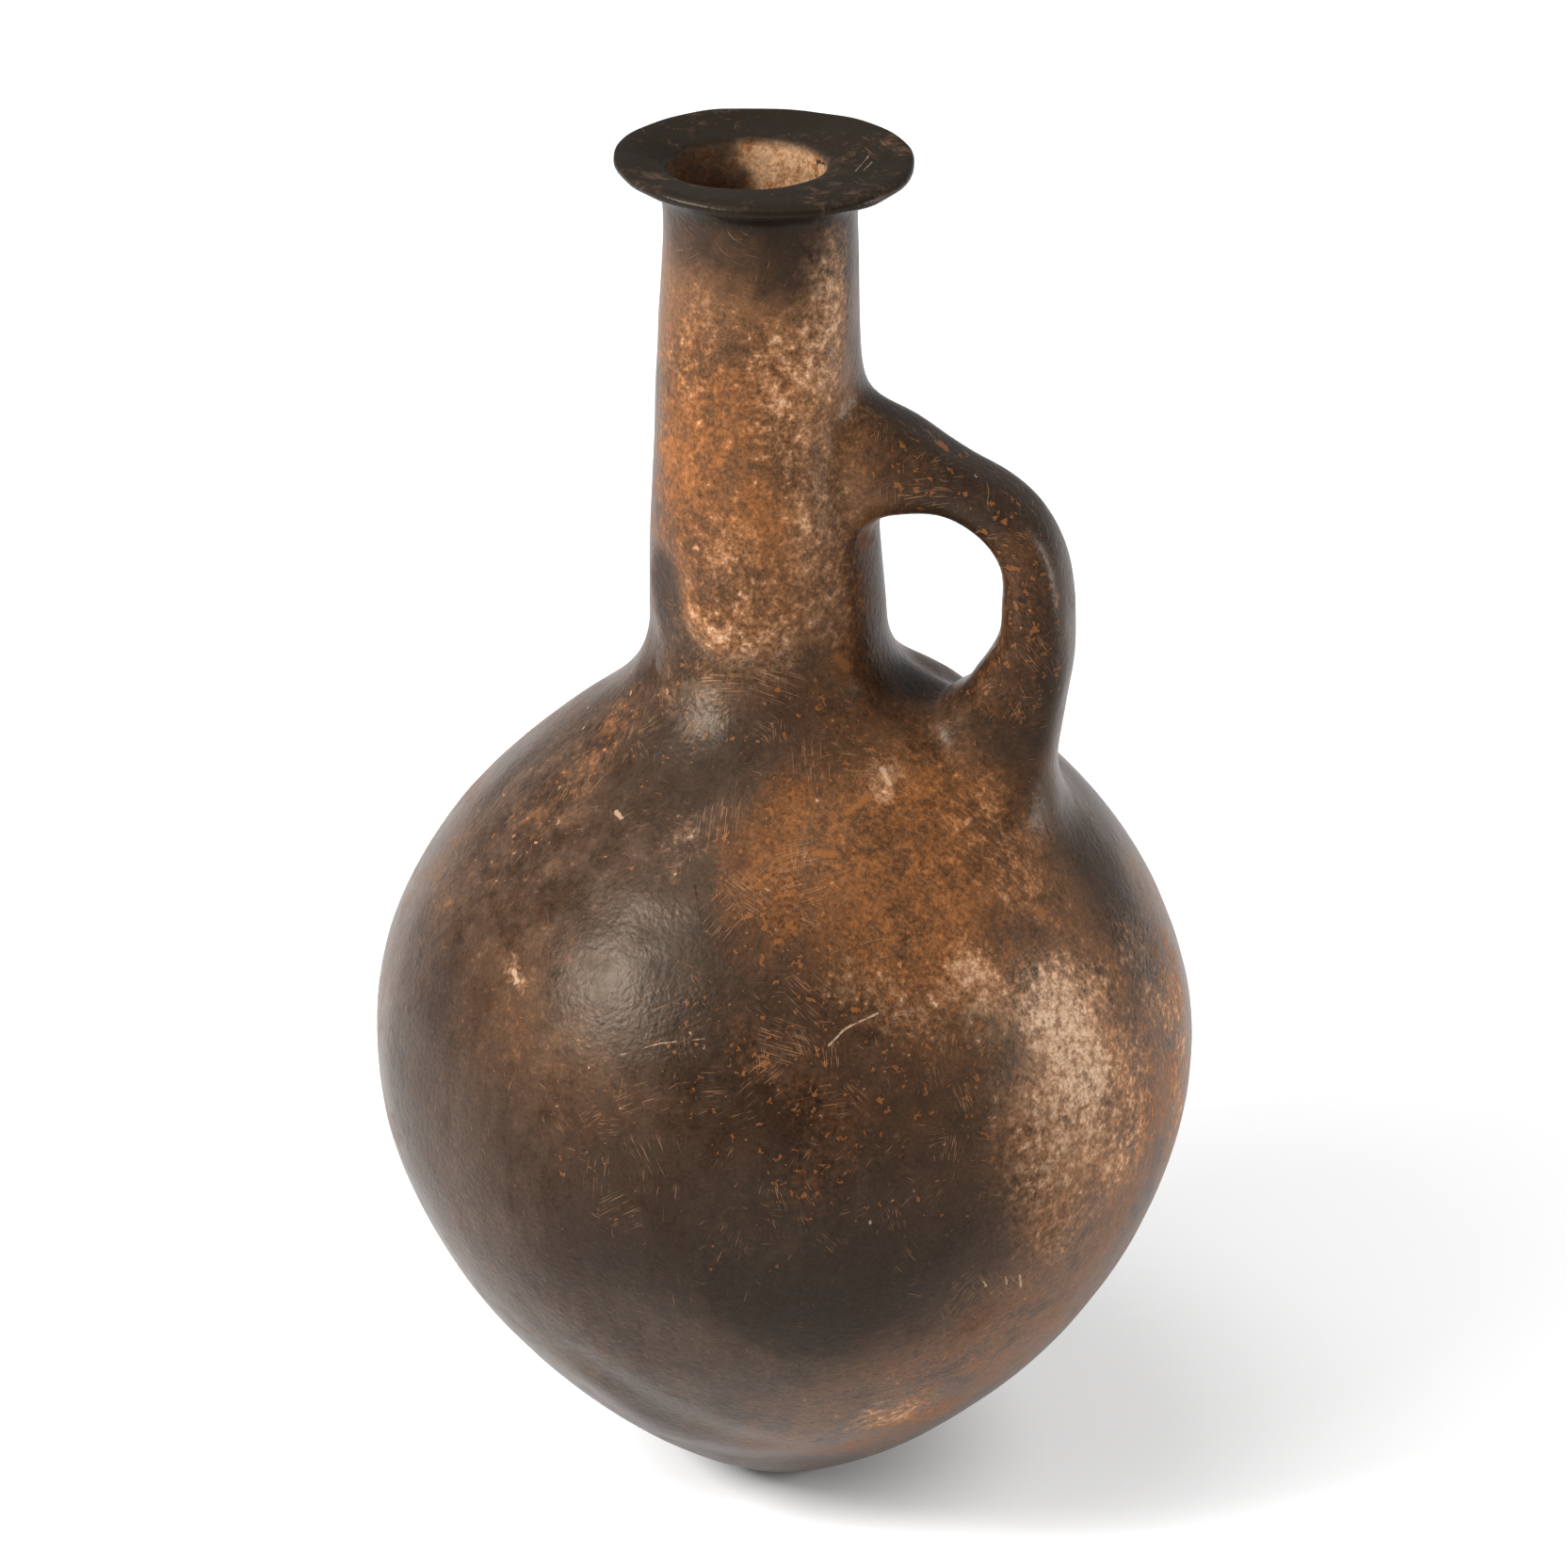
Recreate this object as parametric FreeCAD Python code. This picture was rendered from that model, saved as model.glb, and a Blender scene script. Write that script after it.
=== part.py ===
import FreeCAD, Part
import math
import os

# Hand-built pottery jug: a tall rounded body on a small flat foot, a long leaning
# neck, a wide turned-out rim and one strap handle from the neck to the shoulder.
# Fired clay, one piece, hollow. Millimetres, +Z up, origin at the centre of the foot,
# handle towards +X.

# Body outline, as radius and height above the foot
foot_radius = 20.0
foot_flare = 31.5            # degrees that the wall rises at the foot
belly_radius = 114.6
belly_height = 136.0
shoulder_radius = 70.0       # where the shoulder turns from round to hollow
shoulder_height = 217.5
shoulder_slope = 41.0        # degrees
root_radius = 32.0           # foot of the neck
root_rise = 41.5             # foot of the neck above the shoulder's turn
root_lean_in = 2.4           # degrees that the neck narrows just above its foot
neck_radius = 25.4           # top of the neck, under the rim
neck_length = 119.5          # from its foot to the rim's collar

# Fullness of each stretch of the outline, as a share of the stretch's chord
under_belly_pull = (0.36, 0.33)
over_belly_pull = (0.33, 0.36)
root_pull = (0.42, 0.32)
neck_pull = (0.33, 0.33)
ring_count = 56
ring_points = 16

# The neck was set on off centre and leans away from the handle
neck_shift = 4.3
shift_drop = 5.5             # how far below the shoulder's turn the shift begins
neck_lean = 2.2              # further shift once it has leant over
lean_rise = 66.0             # and how far up the neck that is

# Wall
foot_wall = 8.0
body_wall = 6.0
neck_wall = 5.4

# Rim: a wavy flange around the mouth
rim_radius = 38.3
rim_rise = 11.6              # top of the lip above the neck
rim_lip_thickness = 3.2
rim_dish = 2.6               # how far the top sinks from the lip to the mouth
rim_seat = 1.5               # the rim's collar laps this far down over the neck
rim_ledge = 0.6              # and stands this much proud of it, a line the potter left
rim_under_slope = 1.5        # how far the underside falls from the lip to its fillet
mouth_round = 3.4
rim_shift = 1.0              # the lip stands this much further out on the handle's side
rim_sections = 16
rim_wave = 0.4               # rise and fall of the lip, twice around
rim_wave_turn = 40.0         # degrees from +X to one crest
rim_tilt_rise = 1.2          # the rim stands higher on one side
rim_tilt_turn = 127.0        # degrees from +X to the highest side
rim_oval = 0.9               # lip further out along X, and in along Y, by this much

# Handle: an oval strap, wide where it is pressed on
handle_join_rise = 51.0      # centre of its joint with the neck, above the neck's foot
handle_start_x = 8.0
handle_reach = 70.4          # centre line's furthest distance from the jug's axis
handle_reach_drop = 44.0     # and how far below the joint that is
handle_land_inset = 19.0     # where it lands, inward of the shoulder's turn
handle_land_depth = 18.5     # and below it, inside the wall
handle_start_dip = 4.0       # degrees that the strap falls as it leaves the neck
handle_land_slope = 88.0     # degrees below level as it meets the shoulder
handle_arch_pull = (0.63, 0.42)
handle_drop_pull = (0.40, 0.45)
handle_neck_section = (18.5, 18.5)       # half thickness, half width at the neck
handle_crest_section = (7.7, 12.6)
handle_bend_section = (8.3, 12.8)
handle_drop_section = (9.4, 13.2)
handle_land_section = (25.5, 18.5)
handle_squareness = 2.5      # 2 is an ellipse, more is squarer
section_points = 16
crest_share = 0.38           # where along the arch the joint's flare has ended
drop_share = 0.10            # where along the drop the lower flare starts
arch_sections = 7
drop_sections = 7
over_cut = 2.0

root_height = shoulder_height + root_rise
neck_height = root_height + neck_length
rim_height = neck_height + rim_rise
handle_join_height = root_height + handle_join_rise


def direction(angle):
    return FreeCAD.Vector(math.cos(math.radians(angle)), 0, math.sin(math.radians(angle)))


def stretch(start, start_way, end, end_way, pulls):
    """A curve between two points, leaving and arriving along the given ways."""
    chord = end.distanceToPoint(start)
    curve = Part.BezierCurve()
    curve.setPoles([start, start + start_way * (pulls[0] * chord),
                    end - end_way * (pulls[1] * chord), end])
    return curve


def outline(foot_inset, body_inset, neck_inset, top_height):
    """The jug's half outline, or the cavity's when the insets are wall thicknesses."""
    foot_way = direction(foot_flare)
    up = FreeCAD.Vector(0, 0, 1)
    shoulder_way = direction(180 - shoulder_slope)
    root_way = direction(90 + root_lean_in)
    foot = FreeCAD.Vector(foot_radius, 0, 0)
    foot += direction(foot_flare + 90) * foot_inset
    belly = FreeCAD.Vector(belly_radius - body_inset, 0, belly_height)
    shoulder = FreeCAD.Vector(shoulder_radius, 0, shoulder_height)
    shoulder += direction(270 - shoulder_slope) * body_inset
    root = FreeCAD.Vector(root_radius - neck_inset, 0, root_height)
    top = FreeCAD.Vector(neck_radius - neck_inset, 0, top_height)
    return [stretch(foot, foot_way, belly, up, under_belly_pull),
            stretch(belly, up, shoulder, shoulder_way, over_belly_pull),
            stretch(shoulder, shoulder_way, root, root_way, root_pull),
            stretch(root, root_way, top, up, neck_pull)]


def axis_x(height):
    """Where the axis stands at a height: on the origin, then over with the neck."""
    start = shoulder_height - shift_drop
    rise = min(max((height - start) / (root_height - start), 0.0), 1.0)
    eased = rise * rise * (3 - 2 * rise)
    lean = min(max((height - root_height) / lean_rise, 0.0), 1.0)
    return -neck_shift * eased - neck_lean * lean


def closed_curve(points):
    curve = Part.BSplineCurve()
    curve.interpolate(points, PeriodicFlag=True)
    return Part.Wire(curve.toShape())


def ring(height, radius, centre_x):
    points = []
    for step in range(ring_points):
        turn = 2 * math.pi * step / ring_points
        points.append(FreeCAD.Vector(centre_x + radius * math.cos(turn),
                                     radius * math.sin(turn), height))
    return closed_curve(points)


def round_form(curves):
    """A solid through evenly spaced rings on the outline, each on the jug's axis."""
    wire = Part.Wire([curve.toShape() for curve in curves])
    rings = [ring(point.z, point.x, axis_x(point.z)) for point in wire.discretize(Number=ring_count)]
    return Part.makeLoft(rings, True)


def rim_section(angle):
    """The flange cut along one radius: lip, dished top, mouth and hollow underside."""
    turn = math.radians(angle)
    rise = rim_wave * math.cos(2 * (turn - math.radians(rim_wave_turn)))
    rise += rim_tilt_rise * math.cos(turn - math.radians(rim_tilt_turn))
    lip = rim_radius + rim_shift * math.cos(turn) + rim_oval * math.cos(2 * turn)
    outside = neck_radius + rim_ledge
    inside = neck_radius - neck_wall + rim_ledge

    def place(radius, height):
        share = max(radius - outside, 0.0) / (lip - outside)
        return FreeCAD.Vector(radius, 0, height + rise * share)

    half = rim_lip_thickness / 2
    throat = rim_height - rim_dish - mouth_round
    seat = neck_height - rim_seat
    fillet = rim_height - rim_lip_thickness - rim_under_slope - seat
    corner = fillet * (1 - math.sqrt(0.5))
    mouth_corner = mouth_round * (1 - math.sqrt(0.5))
    lip_top = place(lip - half, rim_height)
    lip_edge = place(lip, rim_height - half)
    lip_under = place(lip - half, rim_height - rim_lip_thickness)
    under_end = place(outside + fillet, seat + fillet)
    under_mid = place(outside + corner, seat + fillet - corner)
    neck_end = place(outside, seat)
    neck_inside = place(inside, seat)
    throat_end = place(inside, throat)
    mouth_mid = place(inside + mouth_corner, throat + mouth_round - mouth_corner)
    mouth_end = place(inside + mouth_round, throat + mouth_round)
    edges = [Part.Arc(lip_top, lip_edge, lip_under).toShape(),
             Part.makeLine(lip_under, under_end),
             Part.Arc(under_end, under_mid, neck_end).toShape(),
             Part.makeLine(neck_end, neck_inside),
             Part.makeLine(neck_inside, throat_end),
             Part.Arc(throat_end, mouth_mid, mouth_end).toShape(),
             Part.makeLine(mouth_end, lip_top)]
    wire = Part.Wire(edges)
    wire.rotate(FreeCAD.Vector(0, 0, 0), FreeCAD.Vector(0, 0, 1), angle)
    wire.translate(FreeCAD.Vector(axis_x(neck_height), 0, 0))
    return wire


def rim_flange():
    sections = [rim_section(360.0 * step / rim_sections) for step in range(rim_sections)]
    return Part.makeLoft(sections, True, False, True)


def handle_section(point, way, half_thickness, half_width):
    """A squarish oval standing across the handle's centre line."""
    across = FreeCAD.Vector(-way.z, 0, way.x)
    side = FreeCAD.Vector(0, 1, 0)
    power = 2 / handle_squareness
    points = []
    for step in range(section_points):
        turn = 2 * math.pi * step / section_points
        out = math.copysign(abs(math.cos(turn)) ** power, math.cos(turn))
        over = math.copysign(abs(math.sin(turn)) ** power, math.sin(turn))
        points.append(point + across * (half_thickness * out) + side * (half_width * over))
    return closed_curve(points)


def between(first, second, share):
    eased = share * share * (3 - 2 * share)
    return [a + (b - a) * eased for a, b in zip(first, second)]


def along(curve, share):
    return curve.tangent(share)[0].normalize()


def strap_handle():
    """The strap follows an arch out from the neck, then a drop to the shoulder."""
    start = FreeCAD.Vector(handle_start_x, 0, handle_join_height)
    reach = FreeCAD.Vector(handle_reach, 0, handle_join_height - handle_reach_drop)
    land = FreeCAD.Vector(shoulder_radius - handle_land_inset, 0,
                          shoulder_height - handle_land_depth)
    down = FreeCAD.Vector(0, 0, -1)
    arch = stretch(start, direction(-handle_start_dip), reach, down, handle_arch_pull)
    drop = stretch(reach, down, land, direction(180 + handle_land_slope), handle_drop_pull)
    sections = []
    for step in range(arch_sections):
        share = step / arch_sections
        if share < crest_share:
            size = between(handle_neck_section, handle_crest_section, share / crest_share)
        else:
            size = between(handle_crest_section, handle_bend_section,
                           (share - crest_share) / (1 - crest_share))
        sections.append(handle_section(arch.value(share), along(arch, share), *size))
    for step in range(drop_sections + 1):
        share = step / drop_sections
        if share < drop_share:
            size = between(handle_bend_section, handle_drop_section, share / drop_share)
        else:
            size = between(handle_drop_section, handle_land_section,
                           (share - drop_share) / (1 - drop_share))
        sections.append(handle_section(drop.value(share), along(drop, share), *size))
    return Part.makeLoft(sections, True)


outer = round_form(outline(0, 0, 0, neck_height))
cavity = round_form(outline(foot_wall, body_wall, neck_wall, neck_height + over_cut))
vessel = outer.fuse(strap_handle()).cut(cavity)
jug = vessel.fuse(rim_flange()).removeSplitter()

os.makedirs("parts", exist_ok=True)
jug.exportStep("parts/jug.step")
print("jug", jug.isValid(), jug.ShapeType, len(jug.Solids), "solids", round(jug.Volume), "mm3")
print("box", jug.BoundBox)
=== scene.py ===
import math

import bmesh
import bpy
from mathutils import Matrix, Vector, kdtree, noise
from mathutils.geometry import interpolate_bezier


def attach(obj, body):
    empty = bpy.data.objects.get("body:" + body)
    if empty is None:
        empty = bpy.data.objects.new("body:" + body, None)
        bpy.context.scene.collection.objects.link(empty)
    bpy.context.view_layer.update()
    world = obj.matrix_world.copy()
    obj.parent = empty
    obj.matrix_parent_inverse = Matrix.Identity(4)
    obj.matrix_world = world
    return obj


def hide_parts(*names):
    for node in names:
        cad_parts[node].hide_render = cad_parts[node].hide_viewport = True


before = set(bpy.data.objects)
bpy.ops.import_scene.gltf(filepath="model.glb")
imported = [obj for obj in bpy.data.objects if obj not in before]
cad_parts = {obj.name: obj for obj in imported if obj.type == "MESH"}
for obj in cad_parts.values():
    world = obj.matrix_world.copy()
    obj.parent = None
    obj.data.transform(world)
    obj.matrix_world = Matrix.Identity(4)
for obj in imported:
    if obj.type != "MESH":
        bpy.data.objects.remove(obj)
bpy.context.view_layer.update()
print("frame loaded:", sorted(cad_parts))

mm = 0.001

# the jug's outline, in mm: radius and height, foot to rim
vessel = {
    "footRadius": 20.0,
    "footFlare": 31.5,          # degrees
    "bellyRadius": 114.0,
    "bellyHeight": 136.0,
    "shoulderRadius": 69.8,
    "shoulderHeight": 217.5,
    "shoulderSlope": 41.0,      # degrees
    "rootRadius": 32.0,
    "rootHeight": 259.0,
    "rootLeanIn": 2.4,          # degrees
    "neckRadius": 25.4,
    "neckHeight": 377.0,
    "pulls": ((0.36, 0.33), (0.33, 0.36), (0.42, 0.32), (0.33, 0.33)),
    "bodyWall": 6.0,
    "neckWall": 5.4,
    "footWall": 8.0,
    "columns": 62,
    "footRings": 3,
    # heights between which the outside gets so many rings
    "outerZones": ((0.0, 209.0, 28), (209.0, 242.0, 12), (242.0, 290.0, 9),
                   (290.0, 324.5, 6), (324.5, 377.0, 6)),
    "innerZones": ((7.5, 200.0, 6), (200.0, 262.0, 3), (262.0, 350.0, 1), (350.0, 377.0, 2)),
    # the rim in section, from under the lip over to the mouth
    "rim": ((25.9, 379.6), (27.8, 382.6), (31.4, 384.6), (35.6, 385.7), (37.9, 386.6),
            (38.5, 388.1), (37.4, 389.4), (34.0, 389.5), (29.0, 389.0), (24.6, 388.6),
            (21.4, 388.0), (19.7, 386.0), (19.4, 380.5)),
    "shift": 4.3,               # the neck stands off centre
    "shiftFrom": 212.0,
    "lean": 2.2,                # and leans a little further
    "leanTo": 325.0,
    "rimRise": 0.55,
    "rimWave": 0.4,
    "rimWaveTurn": 40.0,
    "rimTilt": 1.2,
    "rimTiltTurn": 127.0,
    "rimShift": 1.0,
    "rimOval": 0.9,
    "rimBulge": 1.9,            # the lip stands out further at the back
    "rimBulgeTurn": 124.0,
    "mouthShift": 3.0,          # and the mouth is off its middle, away from the handle
    "mouthFrom": 380.0,
    "mouthEdge": (28.0, 23.0),  # from this radius of the rim in to that one
    "rimLedge": 0.6,            # the rim starts this much outside the neck
    "rimSeat": 0.5,             # and this much below its top
}

# the strap handle, in mm, in the plane of X and Z
handle = {
    "start": (8.0, 310.2),
    "startDip": 4.0,
    "reach": (70.6, 266.0),
    "land": (51.0, 199.0),
    "landSlope": 88.0,
    "archPulls": (0.62, 0.42),
    "dropPulls": (0.40, 0.45),
    # half thickness and half width along the strap
    "neckEnd": (18.5, 18.5),
    "crest": (7.7, 12.6),
    "bend": (8.3, 12.8),
    "drop": (9.4, 13.2),
    "landEnd": (25.5, 18.5),
    "crestAt": 0.38,
    "dropAt": 0.10,
    "squareness": 2.6,
    "archRings": (0.17, 0.23, 0.30, 0.37, 0.44, 0.52, 0.60, 0.68, 0.76, 0.84, 0.92),
    "dropRings": (0.0, 0.10, 0.20, 0.30, 0.40, 0.49, 0.57),
    "neckColumns": 6,           # each side of the handle's plane
    "neckPatch": (290.0, 324.5),
    "shoulderColumns": 3,
    "shoulderPatch": (209.0, 242.0),
    "jointSmooth": 0.4,
}


def ramp(value, low, high):
    # 0 at low, 1 at high, straight between them and level beyond
    return min(max((value - low) / (high - low), 0), 1)


def eased(share):
    return share * share * (3 - 2 * share)


def way(degrees):
    return Vector((math.cos(math.radians(degrees)), 0, math.sin(math.radians(degrees))))


def stretch(start, startWay, end, endWay, pulls, count=80):
    chord = (end - start).length
    return interpolate_bezier(start, start + startWay * pulls[0] * chord,
                              end - endWay * pulls[1] * chord, end, count)


def outline(footInset, bodyInset, neckInset):
    v = vessel
    up = Vector((0, 0, 1))
    foot = Vector((v["footRadius"], 0, 0)) + way(v["footFlare"] + 90) * footInset
    belly = Vector((v["bellyRadius"] - bodyInset, 0, v["bellyHeight"]))
    shoulderWay = way(180 - v["shoulderSlope"])
    shoulder = Vector((v["shoulderRadius"], 0, v["shoulderHeight"]))
    shoulder += way(270 - v["shoulderSlope"]) * bodyInset
    root = Vector((v["rootRadius"] - neckInset, 0, v["rootHeight"]))
    rootWay = way(90 + v["rootLeanIn"])
    top = Vector((v["neckRadius"] - neckInset, 0, v["neckHeight"]))
    pulls = v["pulls"]
    points = stretch(foot, way(v["footFlare"]), belly, up, pulls[0])
    points += stretch(belly, up, shoulder, shoulderWay, pulls[1])[1:]
    points += stretch(shoulder, shoulderWay, root, rootWay, pulls[2])[1:]
    points += stretch(root, rootWay, top, up, pulls[3])[1:]
    return points


def radiusAt(points, height):
    for low, high in zip(points, points[1:]):
        if low.z <= height <= high.z:
            share = (height - low.z) / max(high.z - low.z, 1e-9)
            return low.x + (high.x - low.x) * share
    return points[-1].x if height > points[-1].z else points[0].x


def heightAt(points, radius):
    # on the shoulder, where the radius only falls
    above = [p for p in points if p.z > vessel["bellyHeight"]]
    for low, high in zip(above, above[1:]):
        if high.x <= radius <= low.x:
            return low.z + (high.z - low.z) * (low.x - radius) / max(low.x - high.x, 1e-9)
    return above[-1].z


def ringsBetween(points, low, high, count):
    # evenly spaced along the outline between two heights, without the first
    inside = [p for p in points if low < p.z < high]
    run = [Vector((radiusAt(points, low), 0, low))] + inside
    run.append(Vector((radiusAt(points, high), 0, high)))
    lengths = [0.0]
    for a, b in zip(run, run[1:]):
        lengths.append(lengths[-1] + (b - a).length)
    rings = []
    for step in range(1, count + 1):
        goal = lengths[-1] * step / count
        k = next(i for i in range(1, len(run)) if lengths[i] >= goal - 1e-9)
        share = (goal - lengths[k - 1]) / max(lengths[k] - lengths[k - 1], 1e-9)
        rings.append(run[k - 1].lerp(run[k], share))
    return rings


def axisShift(height):
    # how far the vessel's axis stands along X at a height
    v = vessel
    over = eased(ramp(height, v["shiftFrom"], v["rootHeight"]))
    lean = ramp(height, v["rootHeight"], v["leanTo"])
    return -v["shift"] * over - v["lean"] * lean


def spinVessel(bm, outer):
    # one profile from the foot's centre, up, over the lip and down inside, spun round
    v = vessel
    inner = outline(v["footWall"], v["bodyWall"], v["neckWall"])
    footRings = range(v["footRings"] + 1)
    profile = [Vector((v["footRadius"] * k / v["footRings"], 0, 0)) for k in footRings]
    for low, high, count in v["outerZones"]:
        profile += ringsBetween(outer, low, high, count)
    profile += [Vector((r, 0, z)) for r, z in v["rim"]]
    down = [Vector((inner[0].x, 0, inner[0].z))]
    for low, high, count in v["innerZones"]:
        down += ringsBetween(inner, max(low, inner[0].z), high, count)
    profile += down[::-1]
    profile += [Vector((inner[0].x * 0.5, 0, inner[0].z)), Vector((0, 0, inner[0].z))]
    verts = [bm.verts.new(p) for p in profile]
    edges = [bm.edges.new(pair) for pair in zip(verts, verts[1:])]
    bmesh.ops.spin(bm, geom=verts + edges, cent=(0, 0, 0), axis=(0, 0, 1), dvec=(0, 0, 0),
                   angle=math.tau, steps=v["columns"], use_merge=True, use_duplicate=False)
    bmesh.ops.remove_doubles(bm, verts=bm.verts[:], dist=0.001)
    bmesh.ops.recalc_face_normals(bm, faces=bm.faces[:])


def openPatch(bm, columns, low, high):
    # takes a patch out of the outside wall, so many columns each side of the handle's plane
    reach = math.tau / vessel["columns"] * columns
    patch = []
    for face in bm.faces:
        centre = face.calc_center_median()
        outside = face.normal.dot(Vector((centre.x, centre.y, 0))) > 0
        if outside and low < centre.z < high and abs(math.atan2(centre.y, centre.x)) < reach:
            patch.append(face)
    bmesh.ops.delete(bm, geom=patch, context="FACES")


def loopNear(bm, low, high):
    # the open edges round a patch, whose heights may be 1 mm off
    return [e for e in bm.edges if e.is_boundary and low - 1 < e.verts[0].co.z < high + 1]


def turnsOf(verts, centre, across, halfThickness, halfWidth):
    # the loop's corners in order round the strap, from its outer side
    turns = []
    for vert in verts:
        turn = math.atan2(vert.co.y / halfWidth, (vert.co - centre).dot(across) / halfThickness)
        turns.append((turn + math.tau if turn < -1e-4 else turn, vert))
    return sorted(turns, key=lambda pair: pair[0])


def squareOval(turn, halfThickness, halfWidth):
    power = 2 / handle["squareness"]
    out = math.copysign(abs(math.cos(turn)) ** power, math.cos(turn)) * halfThickness
    over = math.copysign(abs(math.sin(turn)) ** power, math.sin(turn)) * halfWidth
    return out, over


def between(first, second, share):
    return [a + (b - a) * eased(share) for a, b in zip(first, second)]


def strapRings():
    # centre, way and half sizes of each ring along the strap
    h = handle
    start = Vector((h["start"][0], 0, h["start"][1]))
    reach = Vector((h["reach"][0], 0, h["reach"][1]))
    land = Vector((h["land"][0], 0, h["land"][1]))
    down = Vector((0, 0, -1))
    steps = 200
    arch = stretch(start, way(-h["startDip"]), reach, down, h["archPulls"], steps + 1)
    drop = stretch(reach, down, land, way(180 + h["landSlope"]), h["dropPulls"], steps + 1)
    rings = []
    for share in h["archRings"]:
        k = int(share * steps)
        if share < h["crestAt"]:
            size = between(h["neckEnd"], h["crest"], share / h["crestAt"])
        else:
            size = between(h["crest"], h["bend"], (share - h["crestAt"]) / (1 - h["crestAt"]))
        rings.append((arch[k], (arch[k + 1] - arch[k - 1]).normalized(), size))
    for share in h["dropRings"]:
        k = max(int(share * steps), 1)
        if share < h["dropAt"]:
            size = between(h["bend"], h["drop"], share / h["dropAt"])
        else:
            size = between(h["drop"], h["landEnd"], (share - h["dropAt"]) / (1 - h["dropAt"]))
        rings.append((drop[k], (drop[k + 1] - drop[k - 1]).normalized(), size))
    return rings


def roundLoop(turns, outer, centre, halfThickness, halfWidth, onNeck):
    # the patch's square corners are drawn in to an oval that lies on the wall
    for turn, vert in turns:
        out, over = squareOval(turn, halfThickness, halfWidth)
        if onNeck:
            height = centre.z + out
            radius = radiusAt(outer, height)
            vert.co = Vector((math.sqrt(radius * radius - over * over), over, height))
        else:
            radius = math.hypot(centre.x + out, over)
            vert.co = Vector((centre.x + out, over, heightAt(outer, radius)))


def addHandle(bm, outer):
    # the strap grows ring by ring out of the neck's patch and is bridged to the shoulder's
    h = handle
    openPatch(bm, h["neckColumns"], *h["neckPatch"])
    openPatch(bm, h["shoulderColumns"], *h["shoulderPatch"])
    neckLoop = loopNear(bm, *h["neckPatch"])
    landLoop = loopNear(bm, *h["shoulderPatch"])
    neckVerts = {v for e in neckLoop for v in e.verts}
    landVerts = {v for e in landLoop for v in e.verts}
    step = math.tau / vessel["columns"]

    low, high = h["neckPatch"]
    neckCentre = Vector((vessel["rootRadius"], 0, (low + high) / 2))
    neckHalf = ((high - low) / 2, radiusAt(outer, neckCentre.z) * math.sin(step * h["neckColumns"]))
    neckTurns = turnsOf(neckVerts, neckCentre, Vector((0, 0, 1)), *neckHalf)
    roundLoop(neckTurns, outer, neckCentre, *neckHalf, True)

    low, high = h["shoulderPatch"]
    near, far = radiusAt(outer, high), radiusAt(outer, low)
    landCentre = Vector(((near + far) / 2, 0, (low + high) / 2))
    landHalf = ((far - near) / 2, landCentre.x * math.sin(step * h["shoulderColumns"]))
    landTurns = turnsOf(landVerts, landCentre, Vector((1, 0, 0)), *landHalf)
    roundLoop(landTurns, outer, landCentre, *landHalf, False)
    print("handle loops:", len(neckTurns), len(landTurns))

    rings = strapRings()
    loop, ordered = neckLoop, [vert for turn, vert in neckTurns]
    for number, (centre, along, size) in enumerate(rings):
        share = (number + 1) / (len(rings) + 1)
        grown = bmesh.ops.extrude_edge_only(bm, edges=loop)["geom"]
        newVerts = {g for g in grown if isinstance(g, bmesh.types.BMVert)}
        loop = [g for g in grown if isinstance(g, bmesh.types.BMEdge)
                and g.verts[0] in newVerts and g.verts[1] in newVerts]
        ordered = [next(e.other_vert(v) for e in v.link_edges if e.other_vert(v) in newVerts)
                   for v in ordered]
        across = Vector((-along.z, 0, along.x))
        for index, vert in enumerate(ordered):
            turn = neckTurns[index][0] * (1 - share) + landTurns[index][0] * share
            out, over = squareOval(turn, *size)
            vert.co = centre + across * out + Vector((0, over, 0))
            vert.co.x -= axisShift(vert.co.z)
    bmesh.ops.bridge_loops(bm, edges=loop + landLoop)
    joints = [v for v in bm.verts if v in neckVerts or v in landVerts]
    bmesh.ops.smooth_vert(bm, verts=joints, factor=h["jointSmooth"],
                          use_axis_x=True, use_axis_y=True, use_axis_z=True)


def settleNeckAndRim(bm):
    # warps the rim, moves the mouth off its middle and sets the neck off centre
    v = vessel
    waveTurn, tiltTurn = math.radians(v["rimWaveTurn"]), math.radians(v["rimTiltTurn"])
    bulgeTurn = math.radians(v["rimBulgeTurn"])
    collar = v["neckRadius"] + v["rimLedge"]
    lip = max(radius for radius, height in v["rim"])
    for vert in bm.verts:
        radius = math.hypot(vert.co.x, vert.co.y)
        if vert.co.z > v["neckHeight"] - v["rimSeat"] and radius > collar:
            share = (radius - collar) / (lip - collar)
            turn = math.atan2(vert.co.y, vert.co.x)
            rise = v["rimRise"] + v["rimWave"] * math.cos(2 * (turn - waveTurn))
            rise += v["rimTilt"] * math.cos(turn - tiltTurn)
            grow = v["rimShift"] * math.cos(turn) + v["rimOval"] * math.cos(2 * turn)
            grow += v["rimBulge"] * max(math.cos(turn - bulgeTurn), 0) ** 4
            vert.co.z += rise * share
            vert.co.x *= 1 + grow * share / radius
            vert.co.y *= 1 + grow * share / radius
        if vert.co.z > v["mouthFrom"]:
            vert.co.x -= v["mouthShift"] * ramp(radius, *v["mouthEdge"])
        vert.co.x += axisShift(vert.co.z)


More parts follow.
